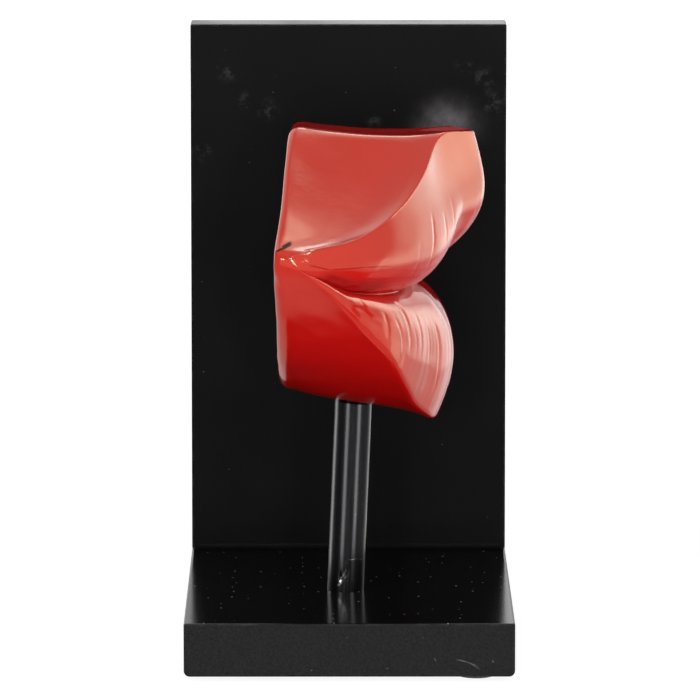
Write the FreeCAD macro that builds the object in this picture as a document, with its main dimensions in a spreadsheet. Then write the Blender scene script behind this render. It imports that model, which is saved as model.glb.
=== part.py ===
import FreeCAD, Part
import Sketcher
import math
import os

# Lips bookend: a base board on four pads, a back panel standing on its rear edge, and a pair of
# lips carried on a leaning post. Millimetres, +Z up, books stand behind the panel at +Y.

SIZES = [
    ("board_width", 110.0, "width of base board and back panel"),
    ("base_depth", 156.0, "base board, front to rear"),
    ("base_thick", 18.0, "base board thickness"),
    ("panel_thick", 15.0, "back panel thickness"),
    ("panel_height", 185.0, "back panel above the base board"),
    ("edge_round", 0.8, "broken edges of board and panel"),
    ("base_low_round", 2.0, "rounded lower edges of the base board"),
    ("filler_size", 2.0, "legs of the filler bead"),
    ("dowel_dia", 8.0, "panel dowel diameter"),
    ("dowel_in_base", 11.0, "dowel depth in the base board"),
    ("dowel_in_panel", 19.0, "dowel depth in the back panel"),
    ("dowel_inset", 13.0, "dowels in from the side edges"),
    ("dowel_fit", 0.05, "radial clearance of the dowels"),
    ("dowel_end_gap", 1.0, "glue space above a dowel"),
    ("panel_screw_dia", 4.0, "panel screw shank"),
    ("panel_screw_head", 8.0, "panel screw head diameter"),
    ("panel_screw_cone", 2.0, "height of the countersunk head"),
    ("panel_screw_sink", 0.5, "head below the underside of the board"),
    ("panel_screw_bite", 26.0, "screw length in the panel"),
    ("panel_screw_inset", 31.0, "panel screws in from the side edges"),
    ("screw_fit", 0.05, "radial clearance of screw shanks"),
    ("screw_end_gap", 2.0, "free depth past a screw tip"),
    ("cut_past", 1.0, "how far cuts run past a face"),
    ("post_dia", 12.7, "post diameter"),
    ("post_rise", 64.8, "post length in sight, along its axis"),
    ("post_seat", 5.0, "post depth in the base board"),
    ("post_in_lips", 6.0, "post depth in the lips"),
    ("post_lean", 2.4, "lean of the post towards +X, degrees"),
    ("post_setback", 62.6, "post foot behind the front edge"),
    ("post_offset", 1.2, "post foot left of the middle"),
    ("post_fit", 0.1, "radial clearance of the post in the board"),
    ("lips_fit", 0.3, "radial clearance of the post in the lips"),
    ("post_chamfer", 0.5, "chamfers at the post ends"),
    ("post_web", 6.0, "board left between post and washer"),
    ("thread_dia", 6.0, "thread of post screw and stud"),
    ("thread_fit", 0.05, "radial clearance on the threads"),
    ("post_screw_bite", 14.0, "post screw length in the post"),
    ("post_screw_head", 10.0, "post screw head diameter"),
    ("post_screw_head_thick", 4.0, "post screw head height"),
    ("washer_dia", 12.0, "washer outside diameter"),
    ("washer_thick", 1.2, "washer thickness"),
    ("washer_fit", 0.2, "radial clearance inside the washer"),
    ("counterbore_fit", 1.0, "radial clearance around the washer"),
    ("stud_in_post", 12.0, "stud depth in the post"),
    ("stud_in_insert", 11.0, "stud length in the insert"),
    ("insert_dia", 9.0, "insert outside diameter"),
    ("insert_length", 13.0, "insert length"),
    ("insert_fit", 0.05, "radial clearance of the insert in the lips"),
    ("key_size", 2.5, "radius of the hexagon recesses in the screws"),
    ("key_depth", 1.5, "depth of the hexagon recesses"),
    ("pad_dia", 13.0, "foot pad diameter"),
    ("pad_thick", 2.0, "foot pad thickness"),
    ("pad_side_inset", 6.3, "pads in from the side edges"),
    ("pad_right_inset", 7.0, "front right pad in from the front edge"),
    ("pad_left_inset", 15.0, "front left pad in from the front edge"),
    ("pad_rear_inset", 8.0, "rear pads in from the rear edge"),
    ("lips_half_width", 56.0, "lips, middle to one corner"),
    ("lips_back", 25.5, "flat back of the lips behind the post axis"),
    ("lips_turn", 2.5, "lips turned about the post, degrees"),
    ("line_height", 44.1, "mouth line above the post's end of sight"),
    ("line_corner_rise", 6.4, "mouth line rises to the corners"),
    ("line_reach", 17.7, "mouth line in front of the post axis, middle"),
    ("line_land", 7.5, "mouth line in front of the flat back, corners"),
    ("corner_band", 6.6, "height of the upper lip at the corners"),
    ("corner_land", 3.0, "upper wall length at the corners"),
    ("bow_rise", 37.6, "bow peaks above the corners"),
    ("bow_peak_offset", 8.5, "bow peak beside the middle"),
    ("bow_peak_reach", 24.0, "bow peaks in front of the post axis"),
    ("bow_round", 0.7, "rounding of the bow peaks"),
    ("bow_tip_reach", 12.6, "middle of the bow in front of its peaks"),
    ("bow_tip_width", 7.5, "half width of the middle of the bow"),
    ("bow_dip", 1.5, "dip of the bow in the middle"),
    ("chin_drop", 4.8, "lower edge of the lower lip below the underside"),
    ("chin_reach", 27.8, "lower edge in front of the post axis"),
    ("chin_band", 1.0, "height of the lower lip at the corners"),
    ("chin_land", 9.5, "lower edge in front of the flat back, corners"),
    ("wall_fall", 0.8, "upper wall falls to the back"),
    ("wall_sag", 1.9, "hollow of the upper wall"),
    ("under_rise", 8.0, "underside rises to the back, middle"),
    ("under_corner_rise", 2.8, "underside rises to the back, corners"),
    ("under_front", 14.0, "length of the curl behind the lower edge"),
    ("under_rear", 15.0, "length of the flat before the back"),
    ("back_top_round", 6.0, "rounding of the upper back edge"),
    ("back_low_round", 6.5, "rounding of the lower back edge"),
    ("upper_top_out", 5.0, "fullness of the upper lip under the bow"),
    ("upper_top_down", 18.0, "depth of that fullness"),
    ("upper_low_out", 28.5, "fullness of the upper lip over the mouth line"),
    ("upper_low_up", 21.2, "height of that fullness"),
    ("groove_depth", 4.0, "grooves beside the middle of the upper lip"),
    ("groove_offset", 10.0, "grooves beside the middle plane"),
    ("groove_width", 4.0, "half width of the grooves"),
    ("tubercle", 1.7, "extra fullness in the middle of the upper lip"),
    ("lower_top_out", 13.9, "fullness of the lower lip under the mouth line"),
    ("lower_top_down", 6.9, "depth of that fullness"),
    ("lower_low_out", 11.2, "fullness of the lower lip over its lower edge"),
    ("lower_low_up", 24.3, "height of that fullness"),
]

# Cross sections of the lips, corner to corner at equal angles of a half circle.
SECTIONS = 41

# How full the mouth line and the lower edge are in plan, as powers of an ellipse.
LINE_POWER = 0.7
CHIN_POWER = 0.75

BASE_TOP = "(sizes.pad_thick + sizes.base_thick)"
POST_Y = "(sizes.post_setback - sizes.base_depth / 2)"
PANEL_Y = "(sizes.base_depth / 2 - sizes.panel_thick / 2)"
DOWEL_X = "(sizes.board_width / 2 - sizes.dowel_inset)"
SCREW_X = "(sizes.board_width / 2 - sizes.panel_screw_inset)"

doc = FreeCAD.newDocument("lips_bookend")
sheet = doc.addObject("Spreadsheet::Sheet", "sizes")
for row, (alias, number, note) in enumerate(SIZES, start=1):
    sheet.set("A%d" % row, note)
    sheet.set("B%d" % row, str(number))
    sheet.setAlias("B%d" % row, alias)
doc.recompute()


def size(alias):
    """One number of the sheet."""
    return float(sheet.get(alias))


def bind(item, **expressions):
    """Ties properties of an object to the sheet; a double underscore stands for a dot."""
    for key, expression in expressions.items():
        item.setExpression(key.replace("__", "."), expression)


def new_body(label):
    """An empty body named as its file."""
    body = doc.addObject("PartDesign::Body", label)
    body.Label = label
    return body


def move(item, x="0", y="0", z="0"):
    """Places an object at expressions of the sheet."""
    bind(item, Placement__Base__x=x, Placement__Base__y=y, Placement__Base__z=z)


def lean(item, height, top):
    """Places an object on the leaning post axis, at a height from the top of the base board."""
    angle = "sizes.post_lean"
    item.Placement = FreeCAD.Placement(
        FreeCAD.Vector(0, 0, 0), FreeCAD.Rotation(FreeCAD.Vector(0, 1, 0), size("post_lean")))
    move(item,
         "-sizes.post_offset + (%s) * sin(%s)" % (height, angle),
         POST_Y,
         "%s + (%s) * cos(%s)" % (top, height, angle))
    bind(item, Placement__Rotation__Angle=angle)


def plane(body, role):
    """One of the three planes of a body's own origin."""
    return [item for item in body.Origin.OriginFeatures if item.Role == role][0]


def rectangle(body, label, width, depth):
    """Sketch of a rectangle about the body's origin."""
    sketch = body.newObject("Sketcher::SketchObject", label)
    sketch.AttachmentSupport = (plane(body, "XY_Plane"), [""])
    sketch.MapMode = "FlatFace"
    points = [(-10, -10), (10, -10), (10, 10), (-10, 10)]
    points = [FreeCAD.Vector(x, y, 0) for x, y in points]
    for i in range(4):
        sketch.addGeometry(Part.LineSegment(points[i], points[(i + 1) % 4]))
    for i in range(4):
        sketch.addConstraint(Sketcher.Constraint("Coincident", i, 2, (i + 1) % 4, 1))
    for i in (0, 2):
        sketch.addConstraint(Sketcher.Constraint("Horizontal", i))
    for i in (1, 3):
        sketch.addConstraint(Sketcher.Constraint("Vertical", i))
    sketch.addConstraint(Sketcher.Constraint("Symmetric", 0, 1, 2, 1, -1, 1))
    across = sketch.addConstraint(Sketcher.Constraint("DistanceX", 0, 1, 0, 2, 20.0))
    along = sketch.addConstraint(Sketcher.Constraint("DistanceY", 1, 1, 1, 2, 20.0))
    sketch.renameConstraint(across, "width")
    sketch.renameConstraint(along, "depth")
    bind(sketch, Constraints__width=width, Constraints__depth=depth)
    return sketch


def corner_bead(body, label, leg):
    """Sketch of a right triangle with equal legs, its right angle at the body's origin."""
    sketch = body.newObject("Sketcher::SketchObject", label)
    sketch.AttachmentSupport = (plane(body, "YZ_Plane"), [""])
    sketch.MapMode = "FlatFace"
    points = [FreeCAD.Vector(x, y, 0) for x, y in ((0, 0), (-2, 0), (0, 2))]
    for i in range(3):
        sketch.addGeometry(Part.LineSegment(points[i], points[(i + 1) % 3]))
    for i in range(3):
        sketch.addConstraint(Sketcher.Constraint("Coincident", i, 2, (i + 1) % 3, 1))
    sketch.addConstraint(Sketcher.Constraint("Coincident", 0, 1, -1, 1))
    sketch.addConstraint(Sketcher.Constraint("Horizontal", 0))
    sketch.addConstraint(Sketcher.Constraint("Vertical", 2))
    flat = sketch.addConstraint(Sketcher.Constraint("DistanceX", 0, 2, 0, 1, 2.0))
    upright = sketch.addConstraint(Sketcher.Constraint("DistanceY", 2, 2, 2, 1, 2.0))
    sketch.renameConstraint(flat, "flat")
    sketch.renameConstraint(upright, "upright")
    bind(sketch, Constraints__flat=leg, Constraints__upright=leg)
    return sketch


def pad(body, label, sketch, length):
    """A sketch raised to a length."""
    item = body.newObject("PartDesign::Pad", label)
    item.Profile = sketch
    bind(item, Length=length)
    sketch.Visibility = False
    return item


def fillet(body, label, base, radius, chosen):
    """Rounds the edges of a feature that a test picks."""
    doc.recompute()
    item = body.newObject("PartDesign::Fillet", label)
    item.Base = (base, ["Edge%d" % (i + 1) for i, edge in enumerate(base.Shape.Edges) if chosen(edge)])
    bind(item, Radius=radius)
    return item


def chamfer(body, label, base, length, chosen):
    """Bevels the edges of a feature that a test picks."""
    doc.recompute()
    item = body.newObject("PartDesign::Chamfer", label)
    item.Base = (base, ["Edge%d" % (i + 1) for i, edge in enumerate(base.Shape.Edges) if chosen(edge)])
    bind(item, Size=length)
    return item


def rod(body, label, radius, length, z="0"):
    """A cylinder added to a body, upright on its axis."""
    item = body.newObject("PartDesign::AdditiveCylinder", label)
    bind(item, Radius=radius, Height=length)
    move(item, z=z)
    return item


def bore(body, label, radius, length, x="0", y="0", z="0"):
    """A cylinder cut from a body, upright from a point."""
    item = body.newObject("PartDesign::SubtractiveCylinder", label)
    bind(item, Radius=radius, Height=length)
    move(item, x, y, z)
    return item


def hexagon(body, label):
    """The key recess in the outer face of a screw head."""
    item = body.newObject("PartDesign::SubtractivePrism", label)
    item.Polygon = 6
    bind(item, Circumradius="sizes.key_size", Height="sizes.key_depth + sizes.cut_past")
    move(item, z="-sizes.cut_past")
    return item


def runs_front_to_rear(edge):
    """Whether a straight edge lies along Y."""
    box = edge.BoundBox
    return box.YLength > 1.0 and box.XLength < 0.01 and box.ZLength < 0.01


def is_base_low_side(edge):
    """Whether an edge is one of the base board's two lower side edges."""
    return runs_front_to_rear(edge) and edge.BoundBox.ZMax < 0.01


def is_base_rim(edge):
    """Whether an edge outlines the base board's front or rear, or is an upper side edge."""
    box = edge.BoundBox
    if box.YLength < 0.01:
        return abs(abs(box.YMin) - size("base_depth") / 2) < 0.01
    return runs_front_to_rear(edge) and box.ZMin > size("base_thick") - 0.01


def is_panel_rim(edge):
    """Whether an edge of the back panel is not on the joint with the base board."""
    return edge.BoundBox.ZMax > 0.01


def is_circle(edge):
    """Whether an edge is a full circle."""
    return isinstance(edge.Curve, Part.Circle) and edge.isClosed()


# The base board with its holes.
base_board = new_body("base_board")
move(base_board, z="sizes.pad_thick")
base_outline = rectangle(base_board, "base_outline", "sizes.board_width", "sizes.base_depth")
base_slab = pad(base_board, "base_slab", base_outline, "sizes.base_thick")
base_low = fillet(base_board, "base_low_edges", base_slab, "sizes.base_low_round", is_base_low_side)
fillet(base_board, "base_rim", base_low, "sizes.edge_round", is_base_rim)
for side, sign in (("left", "-"), ("right", "")):
    bore(base_board, "base_dowel_hole_" + side,
         "sizes.dowel_dia / 2 + sizes.dowel_fit",
         "sizes.dowel_in_base + sizes.cut_past",
         sign + DOWEL_X, PANEL_Y, "sizes.base_thick - sizes.dowel_in_base")
    bore(base_board, "base_screw_hole_" + side,
         "sizes.panel_screw_dia / 2 + sizes.screw_fit",
         "sizes.base_thick + 2 * sizes.cut_past",
         sign + SCREW_X, PANEL_Y, "-sizes.cut_past")
    bore(base_board, "base_screw_sink_" + side,
         "sizes.panel_screw_head / 2 + sizes.screw_fit",
         "sizes.panel_screw_sink + sizes.cut_past",
         sign + SCREW_X, PANEL_Y, "-sizes.cut_past")
    cone = base_board.newObject("PartDesign::SubtractiveCone", "base_screw_cone_" + side)
    bind(cone,
         Radius1="sizes.panel_screw_head / 2",
         Radius2="sizes.panel_screw_dia / 2",
         Height="sizes.panel_screw_cone")
    move(cone, sign + SCREW_X, PANEL_Y, "sizes.panel_screw_sink")
post_socket = bore(base_board, "base_post_socket",
                   "sizes.post_dia / 2 + sizes.post_fit", "sizes.post_seat + sizes.cut_past")
lean(post_socket, "-sizes.post_seat", "sizes.base_thick")
post_hole = bore(base_board, "base_post_screw_hole",
                 "sizes.thread_dia / 2 + sizes.washer_fit", "sizes.base_thick + 2 * sizes.cut_past")
lean(post_hole, "-sizes.base_thick - 2 * sizes.cut_past", "sizes.base_thick")
counterbore = bore(base_board, "base_counterbore",
                   "sizes.washer_dia / 2 + sizes.counterbore_fit",
                   "sizes.base_thick + sizes.cut_past - sizes.post_seat - sizes.post_web")
lean(counterbore, "-sizes.base_thick - sizes.cut_past", "sizes.base_thick")

# The back panel with its holes from below.
back_panel = new_body("back_panel")
move(back_panel, y=PANEL_Y, z=BASE_TOP)
panel_outline = rectangle(back_panel, "panel_outline", "sizes.board_width", "sizes.panel_thick")
panel_slab = pad(back_panel, "panel_slab", panel_outline, "sizes.panel_height")
fillet(back_panel, "panel_rim", panel_slab, "sizes.edge_round", is_panel_rim)
for side, sign in (("left", "-"), ("right", "")):
    bore(back_panel, "panel_dowel_hole_" + side,
         "sizes.dowel_dia / 2 + sizes.dowel_fit",
         "sizes.dowel_in_panel + sizes.dowel_end_gap + sizes.cut_past",
         sign + DOWEL_X, z="-sizes.cut_past")
    bore(back_panel, "panel_screw_hole_" + side,
         "sizes.panel_screw_dia / 2 + sizes.screw_fit",
         "sizes.panel_screw_bite + sizes.screw_end_gap + sizes.cut_past",
         sign + SCREW_X, z="-sizes.cut_past")

# Dowels and screws between board and panel.
dowels = []
panel_screws = []
for side, sign in (("left", "-"), ("right", "")):
    dowel = new_body("panel_dowel_" + side)
    rod(dowel, "dowel_rod_" + side, "sizes.dowel_dia / 2", "sizes.dowel_in_base + sizes.dowel_in_panel")
    move(dowel, sign + DOWEL_X, PANEL_Y, BASE_TOP + " - sizes.dowel_in_base")
    dowels.append(dowel)
    screw = new_body("panel_screw_" + side)
    head = screw.newObject("PartDesign::AdditiveCone", "screw_head_" + side)
    bind(head,
         Radius1="sizes.panel_screw_head / 2",
         Radius2="sizes.panel_screw_dia / 2",
         Height="sizes.panel_screw_cone")
    rod(screw, "screw_shank_" + side, "sizes.panel_screw_dia / 2",
        "sizes.base_thick - sizes.panel_screw_sink + sizes.panel_screw_bite")
    hexagon(screw, "screw_key_" + side)
    move(screw, sign + SCREW_X, PANEL_Y, "sizes.pad_thick + sizes.panel_screw_sink")
    panel_screws.append(screw)

# The filler bead in the inner corner.
joint_filler = new_body("joint_filler")
bead = corner_bead(joint_filler, "filler_section", "sizes.filler_size")
pad(joint_filler, "filler_run", bead, "sizes.board_width - 2 * sizes.edge_round")
move(joint_filler, "sizes.edge_round - sizes.board_width / 2",
     "sizes.base_depth / 2 - sizes.panel_thick", BASE_TOP)

# The post and the pieces on its axis.
post = new_body("post")
post_rod = rod(post, "post_rod", "sizes.post_dia / 2", "sizes.post_seat + sizes.post_rise + sizes.post_in_lips")
chamfer(post, "post_ends", post_rod, "sizes.post_chamfer", is_circle)
bore(post, "post_low_thread", "sizes.thread_dia / 2 + sizes.thread_fit",
     "sizes.post_screw_bite + sizes.screw_end_gap + sizes.cut_past", z="-sizes.cut_past")
bore(post, "post_top_thread", "sizes.thread_dia / 2 + sizes.thread_fit",
     "sizes.stud_in_post + sizes.cut_past",
     z="sizes.post_seat + sizes.post_rise + sizes.post_in_lips - sizes.stud_in_post")
lean(post, "-sizes.post_seat", BASE_TOP)

post_washer = new_body("post_washer")
rod(post_washer, "washer_disc", "sizes.washer_dia / 2", "sizes.washer_thick")
bore(post_washer, "washer_hole", "sizes.thread_dia / 2 + sizes.washer_fit",
     "sizes.washer_thick + 2 * sizes.cut_past", z="-sizes.cut_past")
lean(post_washer, "-sizes.post_seat - sizes.post_web - sizes.washer_thick", BASE_TOP)

post_screw = new_body("post_screw")
rod(post_screw, "post_screw_cap", "sizes.post_screw_head / 2", "sizes.post_screw_head_thick")
rod(post_screw, "post_screw_shank", "sizes.thread_dia / 2",
    "sizes.post_screw_head_thick + sizes.washer_thick + sizes.post_web + sizes.post_screw_bite")
hexagon(post_screw, "post_screw_key")
lean(post_screw,
     "-sizes.post_seat - sizes.post_web - sizes.washer_thick - sizes.post_screw_head_thick", BASE_TOP)

post_stud = new_body("post_stud")
rod(post_stud, "stud_rod", "sizes.thread_dia / 2", "sizes.stud_in_post + sizes.stud_in_insert")
lean(post_stud, "sizes.post_rise + sizes.post_in_lips - sizes.stud_in_post", BASE_TOP)

lips_insert = new_body("lips_insert")
rod(lips_insert, "insert_sleeve", "sizes.insert_dia / 2", "sizes.insert_length")
bore(lips_insert, "insert_thread", "sizes.thread_dia / 2 + sizes.thread_fit",
     "sizes.insert_length + 2 * sizes.cut_past", z="-sizes.cut_past")
lean(lips_insert, "sizes.post_rise + sizes.post_in_lips", BASE_TOP)

# Foot pads.
pads = []
PAD_X = "(sizes.board_width / 2 - sizes.pad_side_inset - sizes.pad_dia / 2)"
PAD_Y = "(sizes.base_depth / 2 - sizes.pad_dia / 2)"
for place, x, y in (
        ("front_left", "-" + PAD_X, "sizes.pad_left_inset - " + PAD_Y),
        ("front_right", PAD_X, "sizes.pad_right_inset - " + PAD_Y),
        ("rear_left", "-" + PAD_X, PAD_Y + " - sizes.pad_rear_inset"),
        ("rear_right", PAD_X, PAD_Y + " - sizes.pad_rear_inset")):
    foot_pad = new_body("foot_pad_" + place)
    rod(foot_pad, "pad_disc_" + place, "sizes.pad_dia / 2", "sizes.pad_thick")
    move(foot_pad, x, y)
    pads.append(foot_pad)


def lip_section(s):
    """One closed cross section of the lips in the plane across the mouth at s from the middle.

    Seven edges meet at the flat back, the bow, the mouth line and the lower edge. The bow falls
    straight from its peaks to the corners and is an ellipse in plan, with a tip in the middle. The
    mouth line and the lower edge are ellipses to a power in plan; the lower edge rises as a parabola.
    """
    half = size("lips_half_width")
    share = abs(s) / half
    past_peak = soft_part(abs(s) - size("bow_peak_offset"))
    fall = min(past_peak / soft_part(half - size("bow_peak_offset")), 1.0)
    middle = math.exp(-(s / size("bow_tip_width")) ** 2)
    rear = -size("lips_back")

    line_corner = size("line_height") + size("line_corner_rise")
    bow_corner = line_corner + size("corner_band")
    bow_y = bow_corner + size("bow_rise") * (1 - fall) - size("bow_dip") * middle
    bow_x0 = rear + size("corner_land")
    bow_x = bow_x0 + (size("bow_peak_reach") - bow_x0) * math.sqrt(1 - fall * fall)
    bow_x += size("bow_tip_reach") * middle
    line_y = size("line_height") + size("line_corner_rise") * share ** 5
    line_x0 = rear + size("line_land")
    line_x = line_x0 + (size("line_reach") - line_x0) * (1 - share * share) ** LINE_POWER
    chin_y0 = -size("chin_drop")
    chin_y = chin_y0 + (line_corner - size("chin_band") - chin_y0) * share * share
    chin_x0 = rear + size("chin_land")
    chin_x = chin_x0 + (size("chin_reach") - chin_x0) * (1 - share * share) ** CHIN_POWER
    top_y = bow_y - size("wall_fall") * (1 + share ** 4)
    low_y = chin_y + size("under_rise") + (size("under_corner_rise") - size("under_rise")) * share * share

    upper = (bow_y - line_y) / (bow_corner + size("bow_rise") - size("bow_dip") - size("line_height"))
    lower = (line_y - chin_y) / (size("line_height") + size("chin_drop"))
    top_round = min(size("back_top_round"), 0.4 * (top_y - low_y), 0.6 * (bow_x - rear))
    low_round = min(size("back_low_round"), 0.4 * (top_y - low_y), 0.6 * (chin_x - rear))
    sag = size("wall_sag") * min((bow_x - rear) / (size("bow_peak_reach") - rear), 1.0)
    groove = size("groove_depth")
    groove *= math.exp(-((abs(s) - size("groove_offset")) / size("groove_width")) ** 2)
    full = size("upper_low_out") - groove + size("tubercle") * middle

    bow = (bow_x, bow_y)
    line = (line_x, line_y)
    chin = (chin_x, chin_y)
    back_top = (rear, top_y - top_round)
    wall_rear = (rear + top_round, top_y)
    back_low = (rear, low_y + low_round)
    under_rear = (rear + low_round, low_y)
    wall_middle = ((wall_rear[0] + bow_x) / 2, (top_y + bow_y) / 2 - 2 * sag)
    return [
        [back_low, back_top],
        [back_top, (rear, top_y), wall_rear],
        [wall_rear, wall_middle, bow],
        [bow,
         (bow_x + size("upper_top_out") * upper, bow_y - size("upper_top_down") * upper),
         (line_x + full * upper, line_y + size("upper_low_up") * upper),
         line],
        [line,
         (line_x + size("lower_top_out") * lower, line_y - size("lower_top_down") * lower),
         (chin_x + size("lower_low_out") * lower, chin_y + size("lower_low_up") * lower),
         chin],
        [chin,
         (chin_x - size("under_front") * lower, chin_y + 0.75 * size("under_rise") * lower),
         (under_rear[0] + size("under_rear") * lower, low_y - 0.55 * size("under_rise") * lower),
         under_rear],
        [under_rear, (rear, low_y), back_low],
    ]


def soft_part(x):
    """The positive part of x with its corner rounded."""
    return (x + math.sqrt(x * x + 4 * size("bow_round") ** 2)) / 2


def section_wire(s):
    """The cross section at s as a closed wire of curves."""
    curves = []
    for points in lip_section(s):
        curve = Part.BezierCurve()
        curve.setPoles([FreeCAD.Vector(x, s, z) for x, z in points])
        curves.append(curve.toShape())
    return Part.Wire(curves)


def lips_solid():
    """Lofts the cross sections from corner to corner and bores the socket and the insert's hole."""
    shares = [-math.cos(math.pi * i / (SECTIONS - 1)) for i in range(SECTIONS)]
    wires = [section_wire(share * size("lips_half_width")) for share in shares]
    solid = Part.makeLoft(wires, True, False)
    deep = size("chin_drop") + size("under_rise") + size("cut_past")
    socket = Part.makeCylinder(size("post_dia") / 2 + size("lips_fit"), deep + size("post_in_lips"),
                               FreeCAD.Vector(0, 0, -deep))
    hole = Part.makeCylinder(size("insert_dia") / 2 + size("insert_fit"),
                             deep + size("post_in_lips") + size("insert_length"),
                             FreeCAD.Vector(0, 0, -deep))
    return solid.cut(socket.fuse(hole))


lips = doc.addObject("Part::Feature", "lips")
lips.Label = "lips"
lips.Shape = lips_solid()
post_angle = math.radians(size("post_lean"))
lips.Placement = FreeCAD.Placement(
    FreeCAD.Vector(size("post_rise") * math.sin(post_angle) - size("post_offset"),
                   size("post_setback") - size("base_depth") / 2,
                   size("pad_thick") + size("base_thick") + size("post_rise") * math.cos(post_angle)),
    FreeCAD.Rotation(FreeCAD.Vector(0, 1, 0), size("post_lean")).multiply(
        FreeCAD.Rotation(FreeCAD.Vector(0, 0, 1), -size("lips_turn"))))

PIECES = [base_board, back_panel, joint_filler, post, post_washer, post_screw, post_stud, lips_insert, lips]
PIECES += dowels + panel_screws + pads

doc.recompute()
for item in doc.Objects:
    if "Invalid" in item.State or "Error" in item.State:
        raise RuntimeError("not built: " + item.Name)
os.makedirs("parts", exist_ok=True)
for piece in PIECES:
    if piece.Shape.isNull() or not piece.Shape.isValid():
        raise RuntimeError("bad shape: " + piece.Label)
    piece.Shape.exportStep("parts/%s.step" % piece.Label)
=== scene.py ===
import math

import bpy
import numpy as np
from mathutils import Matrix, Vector


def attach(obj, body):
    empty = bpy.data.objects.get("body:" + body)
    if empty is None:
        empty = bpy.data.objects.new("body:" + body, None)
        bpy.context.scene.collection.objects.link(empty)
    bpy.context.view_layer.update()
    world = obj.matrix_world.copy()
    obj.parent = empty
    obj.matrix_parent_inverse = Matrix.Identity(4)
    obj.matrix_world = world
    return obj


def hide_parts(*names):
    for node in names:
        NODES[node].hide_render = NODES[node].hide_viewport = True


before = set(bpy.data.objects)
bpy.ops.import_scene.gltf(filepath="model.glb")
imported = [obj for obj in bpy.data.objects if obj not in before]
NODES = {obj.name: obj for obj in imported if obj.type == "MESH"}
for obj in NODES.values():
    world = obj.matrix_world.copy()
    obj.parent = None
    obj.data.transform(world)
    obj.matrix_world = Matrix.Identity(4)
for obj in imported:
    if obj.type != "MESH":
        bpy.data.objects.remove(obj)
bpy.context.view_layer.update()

# All lengths are in millimetres until a mesh is made from them.
MM = 0.001

BOARD_WIDTH = 110.0
BOARD_DEPTH = 156.0
BASE_TOP = 20.0
PANEL_FACE = 63.0

POST_FOOT = np.array([-1.2, -15.4, BASE_TOP])
POST_LEAN = math.radians(2.4)
POST_RADIUS = 6.35
POST_RISE = 64.8
POST_SEAT = 5.0
POST_IN_LIPS = 6.0
SOCKET_RADIUS = 6.75

LIPS_TURN = math.radians(2.5)
HALF = 56.0
BACK = 25.5


def leaning(points):
    """Points about the post axis, z from the top of the board, tipped towards +x and set on the foot."""
    c, s = math.cos(POST_LEAN), math.sin(POST_LEAN)
    tip = np.array([[c, 0.0, s], [0.0, 1.0, 0.0], [-s, 0.0, c]])
    return points @ tip.T + POST_FOOT


def lips_place(points):
    """Points of the lips, x forward and z from the end of the post in sight, turned and set on the post."""
    c, s = math.cos(LIPS_TURN), math.sin(LIPS_TURN)
    turn = np.array([[c, s, 0.0], [-s, c, 0.0], [0.0, 0.0, 1.0]])
    return leaning(points @ turn.T + np.array([0.0, 0.0, POST_RISE]))


def wrapped_grid(rows, columns):
    """Quads of a grid whose last column joins its first."""
    i, j = np.meshgrid(np.arange(rows - 1), np.arange(columns), indexing="ij")
    k = (j + 1) % columns
    quads = np.stack([i * columns + j, (i + 1) * columns + j, (i + 1) * columns + k, i * columns + k], -1)
    return quads.reshape(-1, 4)


def end_fan(ring, centre):
    """Triangles from every side of a ring of points to one centre point."""
    return np.stack([ring, np.roll(ring, -1), np.full_like(ring, centre)], -1)


def make_piece(name, points, faces, nodes=()):
    """A smooth mesh from points in millimetres, riding on the one body."""
    mesh = bpy.data.meshes.new(name)
    mesh.from_pydata((points * MM).tolist(), [], [f for block in faces for f in block.tolist()])
    mesh.polygons.foreach_set("use_smooth", np.ones(len(mesh.polygons), bool))
    mesh.update()
    piece = bpy.data.objects.new(name, mesh)
    bpy.context.scene.collection.objects.link(piece)
    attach(piece, "root")
    if nodes:
        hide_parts(*nodes)
    return piece


# ---- lips

def bezier(points, t):
    """Curve through the first and last of 2 to 4 control points, one row of parameters for each section."""
    n = len(points) - 1
    weights = [math.comb(n, i) * (1 - t) ** (n - i) * t ** i for i in range(n + 1)]
    return sum(w[..., None] * p[:, None, :] for w, p in zip(weights, points))


def soft_part(x):
    """The positive part of x with its corner rounded over 0.7."""
    return (x + np.sqrt(x * x + 4 * 0.7 ** 2)) / 2


def step(x, low, high):
    """A smooth step from 0 at low to 1 at high."""
    t = np.clip((x - low) / (high - low), 0, 1)
    return t * t * (3 - 2 * t)


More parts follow.
